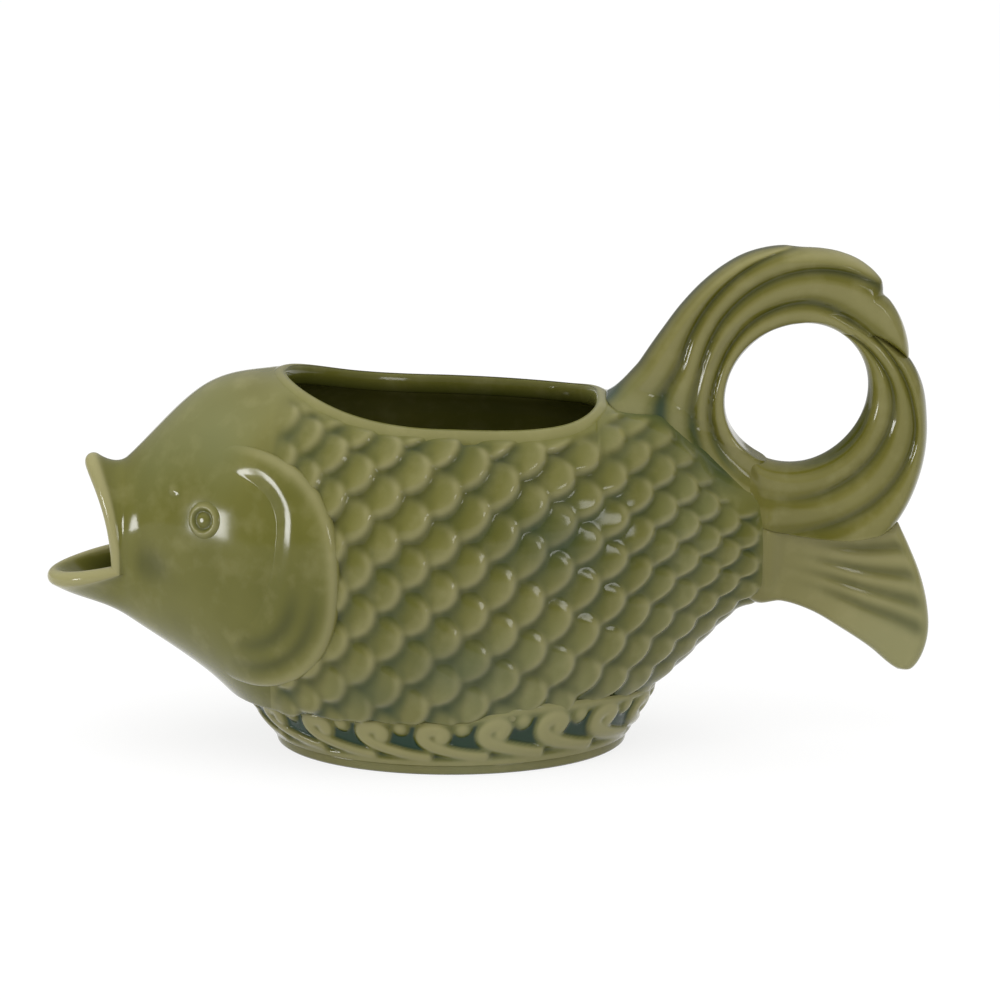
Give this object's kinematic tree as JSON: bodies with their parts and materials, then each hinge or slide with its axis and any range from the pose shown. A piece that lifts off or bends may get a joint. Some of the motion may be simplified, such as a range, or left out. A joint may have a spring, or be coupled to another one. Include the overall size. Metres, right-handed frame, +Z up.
{
  "type": "gurgle jug",
  "caption": "Fish-shaped glazed jug on an oval foot: filled through the open back, poured from the fish's mouth, held by a finger ring formed by its curled tail fins.",
  "frame": {"origin": "on the table under the middle of the oval foot", "axes": "+X towards the tail, -X towards the pouring mouth, +Z up, -Y the fish's left side"},
  "size_m": [0.2419, 0.0888, 0.1385],
  "materials": {
    "body_glaze": "glossy olive glaze, pooled darker green between the scales",
    "head_glaze": "glossy smooth olive glaze",
    "lip_glaze": "glossy olive glaze, thin and pale on the edges",
    "fin_glaze": "glossy olive glaze, pale on the rays and green in the grooves",
    "foot_glaze": "glossy olive glaze, dark teal in the hollows",
    "eye_glaze": "glossy dark olive glaze"
  },
  "bodies": {
    "root": {"left_body_half": "body_glaze", "right_body_half": "body_glaze", "left_head_half": "head_glaze", "right_head_half": "head_glaze", "upper_lip": "lip_glaze", "lower_lip": "lip_glaze", "left_gill_cover": "head_glaze", "right_gill_cover": "head_glaze", "left_eye": "eye_glaze", "right_eye": "eye_glaze", "filler_rim": "lip_glaze", "foot_ring": "foot_glaze", "wave_band": "foot_glaze", "wave_scrolls": "lip_glaze", "tail_stem": "body_glaze", "handle_arch": "fin_glaze", "upper_tail_lobe": "fin_glaze", "lower_tail_lobe": "fin_glaze"}
  },
  "joints": []
}
